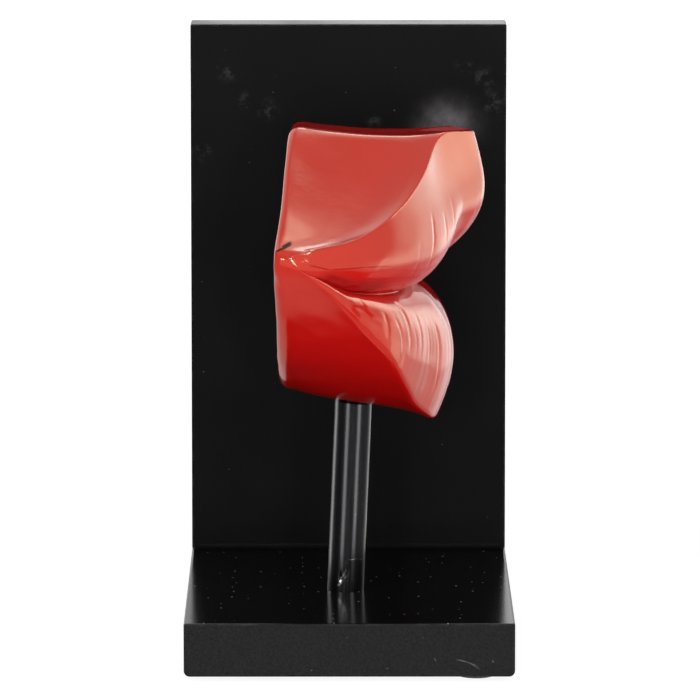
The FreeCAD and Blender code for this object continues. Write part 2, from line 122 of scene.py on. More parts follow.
def lips_edges(s):
    """Control points of the seven edges of the cross section at s from the middle.

    The bow falls straight from its peaks to the corners and is an ellipse in plan with a tip in the
    middle; mouth line and lower edge are ellipses to a power in plan, and the lower edge rises as a
    parabola and sways a little in plan. Between them the lips swell out by amounts that shrink with the height of each lip.
    """
    a = np.abs(s)
    q = np.clip(a / HALF, 0, 1)
    fall = np.clip(soft_part(a - 8.5) / soft_part(HALF - 8.5), 0, 1)
    middle = np.exp(-(s / 7.5) ** 2)
    far = step(s, -6.0, 6.0)
    side = step(a, 6.0, 26.0)

    bow_z = 57.1 + 37.6 * (1 - fall) - 0.3 * middle
    bow_z += 0.1 * far * np.exp(-((s - 8.5) / 16) ** 2) + 0.8 * np.exp(-((a - 55) / 3.5) ** 2)
    bow_x = -22.5 + 46.5 * np.sqrt(1 - fall * fall) + 12.6 * middle
    line_z = 44.1 + 6.4 * q ** 5 - 2.8 * step(a, 6.0, 26.0) * (1 - step(a, 47.0, 56.0))
    line_x = -18.0 + 35.7 * (1 - q * q) ** 0.7
    chin_z = -4.8 + 54.3 * q * q
    chin_x = -16.0 + 43.8 * (1 - q * q) ** 0.75
    chin_x += 1.4 * np.exp(-((a - 38.0) / 5.0) ** 2) - 1.6 * np.exp(-((a - 21.0) / 7.0) ** 2)
    top_z = bow_z - 0.8 * (1 + q ** 4)
    low_z = chin_z + 8.0 - 5.2 * q * q
    rear = -BACK - 0.9 * step(a, 36.0, 52.0)

    upper = (bow_z - line_z) / 49.1
    lower = (line_z - chin_z) / 48.9
    wall = bow_x + BACK
    corner = 2.2 + 3.8 * np.exp(-(s / 11) ** 2)
    top_round = np.minimum(np.minimum(corner, 0.4 * (top_z - low_z)), 0.6 * wall)
    low_round = np.minimum(np.minimum(6.5, 0.4 * (top_z - low_z)), 0.6 * (chin_x + BACK))
    hollow = 1.9 * np.minimum(wall / 49.5, 1) + 7.0 * fall * (1 - fall) * np.minimum(wall / 30, 1)
    hollow *= 1 - 0.2 * far * np.exp(-((s - 8) / 20) ** 2)
    groove = 5.0 * np.exp(-((a - 10.0) / 4.0) ** 2)
    filled = 5.0 * np.exp(-((a - 10.0) / 5.0) ** 2)
    full = 28.5 - groove + 1.7 * middle
    tuck = 1 - 0.6 * side

    def at(x, z):
        return np.stack(np.broadcast_arrays(x, z + 0 * s), -1)

    bow, line, chin = at(bow_x, bow_z), at(line_x, line_z), at(chin_x, chin_z)
    wall_rear, under_rear = at(rear + top_round, top_z), at(rear + low_round, low_z)
    back_top, back_low = at(rear, top_z - top_round), at(rear, low_z + low_round)
    return {
        "back": [back_low, back_top],
        "back_top": [back_top, at(rear, top_z), wall_rear],
        "wall": [wall_rear, (wall_rear + bow) / 2 - at(0 * s, 2 * hollow), bow],
        "upper": [bow, bow + at((5.0 + filled) * upper, -18.0 * upper), line + at(full * upper, 21.2 * upper * tuck),
                  line],
        "lower": [line, line + at(13.9 * lower, -6.9 * lower * tuck), chin + at(11.2 * lower, 24.3 * lower), chin],
        "under": [chin, chin + at(-14.0 * lower, 6.0 * lower), under_rear + at(15.0 * lower, -4.4 * lower),
                  under_rear],
        "back_low": [under_rear, at(rear, low_z), back_low],
    }


def border(one, two, radius):
    """How far two edges that meet are cut back, as parameters, so that a border can be rounded there."""
    def share(near, far, last):
        reach = np.linalg.norm(near - far, axis=-1)
        run = np.linalg.norm(last - far, axis=-1)
        return np.minimum(np.minimum(radius, 0.3 * run) / np.maximum(reach, 1e-6), 0.3)
    cut_one = share(one[-2], one[-1], one[0]) / (len(one) - 1)
    cut_two = share(two[1], two[0], two[-1]) / (len(two) - 1)
    return cut_one, cut_two


CREASES_LOWER = np.array([
    # place across the mouth, depth, half width, lean along the lip, first and last share of the lip
    (-45.5, 0.06, 0.5, 0.6, 0.30, 0.80), (-40.4, 0.15, 0.45, 0.3, 0.44, 0.88),
    (-37.2, 0.17, 0.5, 5.5, 0.48, 1.00), (-32.3, 0.20, 0.55, 0.4, 0.18, 0.84),
    (-29.4, 0.06, 0.4, 1.0, 0.50, 0.94), (-26.4, 0.10, 0.5, -0.6, 0.34, 0.80),
    (-22.0, 0.07, 0.5, 0.8, 0.42, 0.92), (-17.2, 0.18, 0.5, 3.5, 0.40, 0.96),
    (-11.0, 0.08, 0.5, 1.2, 0.35, 0.86), (-4.4, 0.13, 0.5, 0.6, 0.30, 0.88),
    (2.8, 0.07, 0.5, -0.5, 0.38, 0.84), (8.6, 0.16, 0.5, -1.6, 0.40, 0.94),
    (15.0, 0.08, 0.5, -0.6, 0.44, 0.88), (20.4, 0.14, 0.5, -2.4, 0.36, 0.92),
    (26.8, 0.09, 0.5, 0.2, 0.40, 0.84), (31.0, 0.19, 0.55, -0.8, 0.20, 0.86),
    (36.4, 0.13, 0.5, -3.6, 0.46, 0.98), (41.2, 0.12, 0.45, -0.4, 0.42, 0.84),
    (46.0, 0.05, 0.5, -0.8, 0.32, 0.78),
])

CREASES_UPPER = np.array([
    (-44.0, 0.04, 0.8, -1.6, 0.40, 0.90), (-33.0, 0.06, 0.6, -2.0, 0.36, 0.84),
    (-26.0, 0.17, 0.5, -5.0, 0.24, 0.74), (-20.2, 0.08, 0.5, -1.2, 0.32, 0.74),
    (-15.2, 0.06, 0.5, -1.0, 0.28, 0.70), (-10.0, 0.05, 0.6, -0.8, 0.40, 0.84),
    (-3.4, 0.06, 0.6, -0.2, 0.42, 0.88), (5.2, 0.07, 0.5, 0.4, 0.40, 0.84),
    (13.6, 0.06, 0.6, 1.1, 0.34, 0.84), (19.8, 0.10, 0.5, 1.8, 0.30, 0.76),
    (25.4, 0.15, 0.5, 4.2, 0.26, 0.78), (34.0, 0.06, 0.6, 2.1, 0.36, 0.86), (45.0, 0.04, 0.8, 1.5, 0.42, 0.90),
])


def crease_depth(s, t, creases):
    """Sum of grooves that run from the mouth line down or up a lip.

    Each is a bell curve across, shifted along the lip by its lean, and fades in and out between its
    first and last share with smooth steps.
    """
    place, depth, width, lean, first, last = [creases[:, k] for k in range(6)]
    across = s[..., None] - place - lean * (t[..., None] - first)
    begin = np.clip((t[..., None] - first) / 0.10, 0, 1)
    end = np.clip((last - t[..., None]) / 0.28, 0, 1)
    fade = begin * begin * (3 - 2 * begin) * end * end * (3 - 2 * end)
    return (1.6 * depth * fade * np.exp(-(across / width) ** 2)).sum(-1)


def surface_normals(grid):
    """Unit normals of a grid closed along its columns, from differences of neighbours."""
    along = np.gradient(grid, axis=0)
    around = np.roll(grid, -1, 1) - np.roll(grid, 1, 1)
    normal = np.cross(around, along)
    return normal / np.maximum(np.linalg.norm(normal, axis=-1, keepdims=True), 1e-9)


def lips_grid(rows=480):
    """Cross sections from corner to corner, at equal angles of a half circle, each a closed ring.

    The bow, the mouth line and the lower edge are rounded by short arcs, the rings shrink to rounded
    ends over the last few millimetres, and creases and a slight hand-worked unevenness are pressed in
    along the normals. Also gives, for every point, how much painted shade it takes in the mouth line
    near the corners: smooth steps up the last of the upper lip, down the first of the lower one, and along the mouth.
    """
    s = HALF * np.sin(np.linspace(-math.pi / 2, math.pi / 2, rows))
    e = lips_edges(s)
    ones = np.ones((rows, 1))
    cut_wall, cut_bow = border(e["wall"], e["upper"], 0.8 + 0.5 * np.exp(-(s / 8) ** 2))
    cut_upper, cut_line = border(e["upper"], e["lower"], 0.9)
    cut_lower, cut_chin = border(e["lower"], e["under"], 2.2)

    def run(first, last, count, final=True):
        share = np.linspace(0, 1, count + 1)[None, :]
        share = share if final else share[:, :-1]
        return first[:, None] + (last - first)[:, None] * share

    zero, one = np.zeros(rows), np.ones(rows)

    def arc(edge_one, t_one, corner, edge_two, t_two, count):
        a = bezier(edge_one, t_one[:, None])[:, 0]
        b = bezier(edge_two, t_two[:, None])[:, 0]
        return bezier([a, corner, b], np.linspace(0, 1, count + 2)[1:-1][None, :] * ones)

    t_upper = run(cut_bow, one - cut_upper, 56)
    t_lower = run(cut_line, one - cut_lower, 58)
    parts = [
        bezier(e["back"], run(zero, one, 6, False)),
        bezier(e["back_top"], run(zero, one, 8, False)),
        bezier(e["wall"], run(zero, one - cut_wall, 18)),
        arc(e["wall"], one - cut_wall, e["wall"][-1], e["upper"], cut_bow, 5),
        bezier(e["upper"], t_upper),
        arc(e["upper"], one - cut_upper, e["upper"][-1], e["lower"], cut_line, 4),
        bezier(e["lower"], t_lower),
        arc(e["lower"], one - cut_lower, e["lower"][-1], e["under"], cut_chin, 6),
        bezier(e["under"], run(cut_chin, one, 20, False)),
        bezier(e["back_low"], run(zero, one, 8, False)),
    ]
    first = np.cumsum([0] + [p.shape[1] for p in parts])
    section = np.concatenate(parts, 1)

    # Rounded ends: each ring is drawn in towards its middle by a quarter ellipse over the last 2.4.
    left = np.clip(1 - (HALF - np.abs(s)) / 2.4, 0, 1)
    drawn = 2.4 * (1 - np.sqrt(np.maximum(1 - left ** 2, 0)))
    low, high = section.min(1), section.max(1)
    core = (low + high) / 2
    shrink = 1 - drawn[:, None] / np.maximum((high - low) / 2, 2.6)
    section = core[:, None, :] + (section - core[:, None, :]) * shrink[:, None, :]

    across = np.repeat(s[:, None], section.shape[1], 1)
    grid = np.stack([section[..., 0], across, section[..., 1]], -1)

    press = np.zeros(grid.shape[:2])
    calm = np.clip((HALF - np.abs(s)) / 8, 0, 1)[:, None]
    press[:, first[4]:first[5]] += crease_depth(s[:, None] + 0 * t_upper, t_upper, CREASES_UPPER) * calm
    press[:, first[6]:first[7]] += crease_depth(s[:, None] + 0 * t_lower, t_lower, CREASES_LOWER) * calm
    x, y, z = grid[..., 0], grid[..., 1], grid[..., 2]
    uneven = (np.sin(0.21 * x + 0.34 * y + 0.9) * np.sin(0.27 * z - 0.15 * y + 0.4)
              + 0.6 * np.sin(0.43 * y - 0.31 * z + 2.1) * np.sin(0.37 * x + 0.29 * z))
    press += 0.05 * uneven * calm
    ripple = np.sin(2.3 * s + 1.4 * np.sin(0.37 * s)) + 0.7 * np.sin(1.57 * s + 2.2 * np.sin(0.21 * s + 1.0))
    along = step(t_lower, 0.25, 0.5) * (1 - step(t_lower, 0.9, 1.0))
    press[:, first[6]:first[7]] += ((0.008 + 0.014 * step(np.abs(s), 8.0, 26.0)) * ripple)[:, None] * along * calm

    # Painted shade: how much darker red and dimmed shine each point takes, in the mouth's crease near the corners where
    # shade falls.
    crevice = np.zeros(grid.shape[:2])
    crevice[:, first[4]:first[5]] = step(t_upper, 0.64, 0.82)
    crevice[:, first[5]:first[6]] = 1.0
    crevice[:, first[6]:first[7]] = 1 - step(t_lower, 0.06, 0.20)
    crevice *= (step(np.abs(s), 37.0, 43.0) * (1 - step(np.abs(s), 52.5, 55.0)))[:, None]
    return grid - surface_normals(grid) * press[..., None], crevice


def make_lips():
    """The lips from their grid of rings, closed at both corners, with the socket for the post bored in."""
    grid, crevice = lips_grid()
    rows, columns = grid.shape[:2]
    points = lips_place(grid.reshape(-1, 3))
    ends = np.stack([grid[0].mean(0), grid[-1].mean(0)])
    points = np.concatenate([points, lips_place(ends)])
    ring = np.arange(columns)
    faces = [wrapped_grid(rows, columns), end_fan(ring, rows * columns),
             end_fan(ring + (rows - 1) * columns, rows * columns + 1)[:, ::-1]]
    piece = make_piece("lips_red", points, faces, ["lips"])
    # The painted shade of the crease rides on the mesh as a point attribute.
    depth = piece.data.attributes.new("crevice", "FLOAT", "POINT")
    depth.data.foreach_set("value", np.append(crevice.ravel(), [0.0, 0.0]).astype(np.float32))
    bore_socket(piece)
    return piece


def bore_socket(piece):
    """Cuts the blind round hole for the post into the underside, in line with the post."""
    height = np.array([POST_RISE - 12.0, POST_RISE + POST_IN_LIPS + 0.3])
    grid = turned(np.full(2, SOCKET_RADIUS), height, 96)
    ring = np.arange(96)
    faces = wrapped_grid(2, 96)[:, ::-1].tolist() + [ring[::-1].tolist(), (ring + 96).tolist()]
    drill = bpy.data.meshes.new("drill")
    drill.from_pydata((leaning(grid.reshape(-1, 3)) * MM).tolist(), [], faces)
    tool = bpy.data.objects.new("drill", drill)
    bpy.context.scene.collection.objects.link(tool)
    cut = piece.modifiers.new("socket", "BOOLEAN")
    cut.operation = "DIFFERENCE"
    cut.solver = "EXACT"
    cut.object = tool
    bored = bpy.data.meshes.new_from_object(piece.evaluated_get(bpy.context.evaluated_depsgraph_get()))
    piece.modifiers.clear()
    whole = piece.data
    piece.data = bored
    bpy.data.meshes.remove(whole)
    bpy.data.objects.remove(tool)
    bpy.data.meshes.remove(drill)
    bored.name = piece.name
    bored.polygons.foreach_set("use_smooth", np.ones(len(bored.polygons), bool))
    bored.set_sharp_from_angle(angle=math.radians(55))


# ---- post, filler, pads

def turned(radius, height, around):
    """Points of a profile of radii and heights turned about the z axis, one ring for each pair."""
    angle = np.linspace(0, 2 * math.pi, around, endpoint=False)
    x = radius[:, None] * np.cos(angle)
    y = radius[:, None] * np.sin(angle)
    return np.stack([x, y, np.repeat(height[:, None], around, 1)], -1)


def make_post():
    """A round bar with broken ends; its wall has a shallow nick and a wave of a few hundredths."""
    top = POST_RISE + POST_IN_LIPS
    height = np.concatenate([[-POST_SEAT, -POST_SEAT], np.linspace(-POST_SEAT + 0.5, top - 0.5, 180), [top, top]])
    radius = np.full_like(height, POST_RADIUS)
    radius[[0, -1]] = 2.0
    radius[[1, -2]] = POST_RADIUS - 0.5
    grid = turned(radius, height, 144)
    angle = np.arctan2(grid[..., 1], grid[..., 0])
    z = grid[..., 2]
    nick = 0.28 * np.exp(-((angle + 1.86) / 0.09) ** 2 - ((z - 5.2) / 1.3) ** 2)
    nick += 0.16 * np.exp(-((angle + 1.62 - 0.05 * (z - 5)) / 0.05) ** 2 - ((z - 6.0) / 2.2) ** 2)
    wave = 0.012 * np.sin(0.23 * z + 1.3) * np.cos(angle + 0.4) + 0.008 * np.sin(0.61 * z)
    scale = 1 - (nick - wave) / POST_RADIUS
    grid[..., :2] *= scale[..., None]
    rows, columns = grid.shape[:2]
    points = leaning(grid.reshape(-1, 3))
    ring = np.arange(columns)
    faces = [wrapped_grid(rows, columns)[:, ::-1], ring[None, ::-1], ring[None, :] + (rows - 1) * columns]
    return make_piece("post_bar", points, faces, ["post"])


def make_filler():
    """A hollow bead of filler: a quarter round from panel to board, carried across with a slight waver."""
    across = np.linspace(-BOARD_WIDTH / 2 + 0.8, BOARD_WIDTH / 2 - 0.8, 240)
    waver = 0.14 * np.sin(0.31 * across + 0.6) + 0.09 * np.sin(0.83 * across + 2.0) + 0.05 * np.sin(2.1 * across)
    leg = 1.85 + waver
    turn = np.linspace(0, math.pi / 2, 14)
    y = np.concatenate([-leg[:, None] * (1 - np.sin(turn)), np.zeros((240, 1))], 1)
    z = np.concatenate([leg[:, None] * (1 - np.cos(turn)), np.zeros((240, 1))], 1)
    grid = np.stack([np.repeat(across[:, None], 15, 1), PANEL_FACE + y, BASE_TOP + z], -1)
    rows, columns = grid.shape[:2]
    ring = np.arange(columns)
    faces = [wrapped_grid(rows, columns), ring[None, :], (ring + (rows - 1) * columns)[None, ::-1]]
    return make_piece("filler_bead", grid.reshape(-1, 3), faces, ["joint_filler"])


def make_pad(place, x, y):
    """A soft round pad: a disc whose lower rim bulges and is rounded, flat where it stands."""
    turn = np.linspace(0, math.pi / 2, 9)
    low_r = 5.7 + 0.8 * np.sin(turn)
    low_z = 0.8 - 0.8 * np.cos(turn)
    radius = np.concatenate([[3.0], low_r, [6.5, 6.4, 6.2], [3.0]])
    height = np.concatenate([[0.0], low_z, [1.3, 1.8, 2.0], [2.0]])
    grid = turned(radius, height, 72) + np.array([x, y, 0.0])
    rows, columns = grid.shape[:2]
    ring = np.arange(columns)
    faces = [wrapped_grid(rows, columns)[:, ::-1], ring[None, ::-1], ring[None, :] + (rows - 1) * columns]
    return make_piece("pad_" + place, grid.reshape(-1, 3), faces, ["foot_pad_" + place])


# ---- finishes

def finish_tree(name):
    """A new material, its node tree, its shader and its object coordinates."""
    material = bpy.data.materials.new(name)
    material.use_nodes = True
    tree = material.node_tree
    tree.nodes.clear()
    out = tree.nodes.new("ShaderNodeOutputMaterial")
    shader = tree.nodes.new("ShaderNodeBsdfPrincipled")
    tree.links.new(shader.outputs["BSDF"], out.inputs["Surface"])
    place = tree.nodes.new("ShaderNodeTexCoord").outputs["Object"]
    return material, tree, shader, place


def put(tree, kind, inputs=None, **settings):
    """A node with its settings, and values or links on its inputs."""
    node = tree.nodes.new(kind)
    for key, value in settings.items():
        setattr(node, key, value)
    for key, value in (inputs or {}).items():
        if isinstance(value, bpy.types.NodeSocket):
            tree.links.new(value, node.inputs[key])
        else:
            node.inputs[key].default_value = value
    return node


def sums(tree, operation, one, two=0.0, three=0.0):
    """One arithmetic step."""
    return put(tree, "ShaderNodeMath", {0: one, 1: two, 2: three}, operation=operation).outputs[0]


def ramp(tree, value, low, high, first, last, smooth=True):
    """A value carried from one range to another, held at both ends."""
    kind = "SMOOTHSTEP" if smooth else "LINEAR"
    node = put(tree, "ShaderNodeMapRange", {"Value": value, "From Min": low, "From Max": high,
                                            "To Min": first, "To Max": last}, interpolation_type=kind)
    return node.outputs["Result"]


def cloud(tree, place, scale, detail=3.0, rough=0.5, stretch=None):
    """Soft noise at a scale in lumps per metre, stretched along the axes if wanted."""
    if stretch:
        place = put(tree, "ShaderNodeMapping", {"Vector": place, "Scale": stretch}).outputs[0]
    node = put(tree, "ShaderNodeTexNoise", {"Vector": place, "Scale": scale, "Detail": detail, "Roughness": rough})
    return node.outputs["Fac"]


def two_tone(tree, share, one, two):
    """A colour between two colours."""
    node = put(tree, "ShaderNodeMix", data_type="RGBA")
    node.inputs[6].default_value = (*one, 1.0) if not isinstance(one, bpy.types.NodeSocket) else node.inputs[6].default_value
    if isinstance(one, bpy.types.NodeSocket):
        tree.links.new(one, node.inputs[6])
    node.inputs[7].default_value = (*two, 1.0)
    tree.links.new(share, node.inputs[0])
    return node.outputs[2]


def relief(tree, shader, height, depth):
    """Presses a height pattern of a depth in metres into the shading."""
    bump = put(tree, "ShaderNodeBump", {"Height": height, "Strength": 1.0, "Distance": depth})
    tree.links.new(bump.outputs["Normal"], shader.inputs["Normal"])


def flat_face(tree, place, axes):
    """Coordinates in the plane of a flat face, from two axes such as XZ."""
    parts = put(tree, "ShaderNodeSeparateXYZ", {"Vector": place}).outputs
    return put(tree, "ShaderNodeCombineXYZ", {"X": parts[axes[0]], "Y": parts[axes[1]]}).outputs[0]


def specks(tree, face, scale, size, share):
    """Sparse round dust specks on a face: a share of the cells of a scattered pattern, each with its own size."""
    cells = put(tree, "ShaderNodeTexVoronoi", {"Vector": face, "Scale": scale}, voronoi_dimensions="2D")
    pick = put(tree, "ShaderNodeSeparateColor", {"Color": cells.outputs["Color"]})
    reach = sums(tree, "MULTIPLY", pick.outputs[1], size * scale)
    dot = ramp(tree, sums(tree, "SUBTRACT", cells.outputs["Distance"], reach), -0.006, 0.006, 1.0, 0.0)
    return sums(tree, "MULTIPLY", dot, sums(tree, "GREATER_THAN", pick.outputs[0], 1 - share))


def strokes(tree, face, lines):
    """Straight scratches on a face, each with its middle, length, width in millimetres and turn in degrees."""
    marks = None
    for x, y, length, width, turn in lines:
        own = put(tree, "ShaderNodeMapping", {"Vector": face, "Location": (x * MM, y * MM, 0.0),
                                              "Rotation": (0.0, 0.0, math.radians(turn))}, vector_type="TEXTURE")
        parts = put(tree, "ShaderNodeSeparateXYZ", {"Vector": own.outputs[0]}).outputs
        run = ramp(tree, sums(tree, "ABSOLUTE", parts[0]), 0.25 * length * MM, 0.5 * length * MM, 1.0, 0.0)
        thin = ramp(tree, sums(tree, "ABSOLUTE", parts[1]), 0.2 * width * MM, 0.5 * width * MM, 1.0, 0.0)
        mark = sums(tree, "MULTIPLY", run, thin)
        marks = mark if marks is None else sums(tree, "MAXIMUM", marks, mark)
    return marks


def rubbed_edges(tree, place, low, high):
    """Worn lacquer along the edges of a board: 1 where two of its faces are near, broken up by noise."""
    parts = put(tree, "ShaderNodeSeparateXYZ", {"Vector": place}).outputs
    near = []
    for k in range(3):
        off = sums(tree, "ABSOLUTE", sums(tree, "SUBTRACT", parts[k], (low[k] + high[k]) / 2 * MM))
        half = (high[k] - low[k]) / 2 * MM
        near.append(ramp(tree, off, half - 0.9 * MM, half - 0.1 * MM, 0.0, 1.0))
    pairs = [sums(tree, "MULTIPLY", near[i], near[j]) for i, j in ((0, 1), (1, 2), (0, 2))]
    worn = sums(tree, "MAXIMUM", sums(tree, "MAXIMUM", pairs[0], pairs[1]), pairs[2])
    return sums(tree, "MULTIPLY", worn, ramp(tree, cloud(tree, place, 240.0, 5.0, 0.65), 0.38, 0.68, 0.0, 1.0))


def spot(tree, place, centre, reach):
    """A soft round patch about a point, 1 in the middle and 0 past its reach."""
    far = put(tree, "ShaderNodeVectorMath", {0: place, 1: centre}, operation="DISTANCE").outputs["Value"]
    return ramp(tree, far, 0.0, reach, 1.0, 0.0)


def red_lacquer():
    """High gloss red: slightly cloudy depth of colour, a faint orange peel and polishing haze; painted shade in the
    mouth's crease and under the upper lip, and painted dark reflections on the near side.
    """
    material, tree, shader, place = finish_tree("red_lacquer")
    tone = two_tone(tree, cloud(tree, place, 60.0), (0.55, 0.0030, 0.0030), (0.61, 0.0050, 0.0045))
    facing = put(tree, "ShaderNodeSeparateXYZ", {"Vector": put(tree, "ShaderNodeNewGeometry").outputs["Normal"]})
    below = ramp(tree, facing.outputs["Z"], -0.35, -0.5, 0.0, 0.10)
    polish = ramp(tree, cloud(tree, place, 260.0, 4.0, 0.6), 0.3, 0.75, 0.045, 0.10)
    tree.links.new(sums(tree, "ADD", polish, below), shader.inputs["Roughness"])
    shader.inputs["IOR"].default_value = 1.5
    shader.inputs["Specular Tint"].default_value = (1.0, 0.94, 0.62, 1.0)
    peel = sums(tree, "MULTIPLY_ADD", cloud(tree, place, 170.0, 2.0), 6.0, cloud(tree, place, 900.0, 1.0))
    relief(tree, shader, peel, 0.000012)

    parts = put(tree, "ShaderNodeSeparateXYZ", {"Vector": place}).outputs
    near = ramp(tree, parts["Y"], -0.045, -0.055, 0.0, 1.0)
    face = flat_face(tree, place, "XZ")
    # Painted shade: the shine is dimmed on the downward-facing underside of the upper lip above the mouth, where it
    # faces the lower lip.
    painted_underside_shade = sums(tree, "MULTIPLY", ramp(tree, facing.outputs["Z"], -0.10, -0.24, 0.0, 1.0),
                   ramp(tree, facing.outputs["X"], 0.15, 0.40, 0.0, 1.0))
    painted_underside_shade = sums(tree, "MULTIPLY", painted_underside_shade, ramp(tree, parts["Z"], 0.116, 0.122, 0.0, 1.0))
    # Painted dark reflection: strokes on the lower lip near the mouth where the shine is dimmed.
    painted_dark_reflection = strokes(tree, face, ((2.3, 122.0, 6.4, 1.7, -54.0), (6.1, 121.8, 7.4, 1.7, -45.0), (3.1, 123.9, 6.0, 1.5, -15.0)))
    # Painted dark reflection: a dark brown patch in the fold at the near corner, on upward-facing surface, with its
    # shine dimmed.
    painted_fold_dark = sums(tree, "MULTIPLY", strokes(tree, face, ((-21.8, 144.2, 7.4, 0.9, 24.0), (-20.7, 144.8, 4.4, 1.8, 24.0))), near)
    painted_fold_dark = sums(tree, "MULTIPLY", painted_fold_dark, ramp(tree, facing.outputs["Z"], 0.15, 0.45, 0.0, 1.0))
    # Shine dimmed for the painted shade and the painted dark reflections.
    dull = sums(tree, "MAXIMUM", painted_underside_shade, sums(tree, "MULTIPLY", painted_dark_reflection, near))
    dull = sums(tree, "MAXIMUM", dull, sums(tree, "MULTIPLY", painted_fold_dark, 1.2))
    # Painted shade in the mouth's crease near the corners, read from the mesh.
    crevice = put(tree, "ShaderNodeAttribute", attribute_name="crevice").outputs["Fac"]
    # Painted dark reflection: thin dark lines across the upper lip, where the edge of a reflection falls.
    painted_reflection_line = strokes(tree, face, ((-9.7, 137.9, 8.5, 0.65, -15.0), (-0.6, 137.15, 15.0, 0.65, 1.2), (9.9, 137.1, 11.0, 0.6, -2.9)))
    painted_crease_shade_and_line = sums(tree, "MAXIMUM", crevice, sums(tree, "MULTIPLY", sums(tree, "MULTIPLY", painted_reflection_line, near), 0.85))
    # The painted shade and the painted dark reflection line make the red deeper and dim the shine.
    tone = two_tone(tree, painted_crease_shade_and_line, tone, (0.36, 0.0010, 0.0020))
    dull = sums(tree, "MAXIMUM", dull, painted_crease_shade_and_line)
    tree.links.new(ramp(tree, dull, 0.0, 1.2, 0.5, 0.04, False), shader.inputs["Specular IOR Level"])
    tree.links.new(two_tone(tree, painted_fold_dark, tone, (0.075, 0.016, 0.013)), shader.inputs["Base Color"])
    return material


def black_panel():
    """Satin black lacquer on the upright panel, with handling smudges, dust, a pale grey patch above the lips and a
    fine sprayed grain; painted light makes it lighter towards its top.
    """
    material, tree, shader, place = finish_tree("black_panel")
    smudge = None
    for x, z, reach in ((-42.0, 188.5, 5.5), (-36.5, 178.0, 5.0), (-28.0, 175.0, 5.5), (47.0, 186.0, 6.0),
                        (50.5, 177.0, 7.5), (40.0, 190.0, 4.5), (9.0, 171.0, 3.5), (-50.0, 160.0, 5.0)):
        patch = spot(tree, place, (x * MM, PANEL_FACE * MM, z * MM), reach * MM)
        smudge = patch if smudge is None else sums(tree, "ADD", smudge, patch)
    wisps = sums(tree, "MULTIPLY", smudge, ramp(tree, cloud(tree, place, 420.0, 6.0, 0.62), 0.48, 0.66, 0.0, 1.0))
    rise = put(tree, "ShaderNodeSeparateXYZ", {"Vector": place}).outputs["Z"]
    # A pale grey patch on the panel above the lips' top right, cut off below a height of 160 to 169 mm and broken up by
    # noise.
    pale_patch = spot(tree, place, (34.5 * MM, PANEL_FACE * MM, 167.8 * MM), 20.0 * MM)
    pale_patch = sums(tree, "MULTIPLY", sums(tree, "POWER", pale_patch, 2.2), ramp(tree, rise, 0.160, 0.169, 0.0, 1.0))
    pale_patch = sums(tree, "MULTIPLY", pale_patch, ramp(tree, cloud(tree, place, 140.0, 5.0, 0.6), 0.3, 0.7, 0.4, 1.0))
    dust = specks(tree, flat_face(tree, place, "XZ"), 120.0, 0.00026, 0.16)
    facing = put(tree, "ShaderNodeSeparateXYZ", {"Vector": put(tree, "ShaderNodeNewGeometry").outputs["Normal"]})
    dust = sums(tree, "MULTIPLY", dust, ramp(tree, sums(tree, "ABSOLUTE", facing.outputs["Y"]), 0.5, 0.9, 0.0, 1.0))
    worn = rubbed_edges(tree, place, (-BOARD_WIDTH / 2, PANEL_FACE, BASE_TOP), (BOARD_WIDTH / 2, 78.0, 205.0))
    tone = two_tone(tree, cloud(tree, place, 55.0, 5.0), (0.0014, 0.0014, 0.0015), (0.0034, 0.0034, 0.0035))
    # Painted light: the black turns lighter towards the top of the panel.
    tone = two_tone(tree, ramp(tree, rise, 0.12, 0.21, 0.0, 0.11), tone, (0.017, 0.017, 0.0175))
    tone = two_tone(tree, pale_patch, tone, (0.16, 0.16, 0.165))
    tone = two_tone(tree, wisps, tone, (0.026, 0.0265, 0.028))
    tone = two_tone(tree, worn, tone, (0.030, 0.030, 0.031))
    tone = two_tone(tree, dust, tone, (0.07, 0.068, 0.066))
    tree.links.new(tone, shader.inputs["Base Color"])
    gloss = ramp(tree, cloud(tree, place, 35.0, 4.0), 0.3, 0.7, 0.40, 0.50)
    top = ramp(tree, facing.outputs["Z"], 0.4, 0.9, 0.0, 1.0)
    tree.links.new(sums(tree, "MULTIPLY_ADD", top, -0.26, gloss), shader.inputs["Roughness"])
    tree.links.new(ramp(tree, top, 0.0, 1.0, 0.04, 0.22, False), shader.inputs["Specular IOR Level"])
    relief(tree, shader, cloud(tree, place, 2600.0, 2.0), 0.00002)
    return material


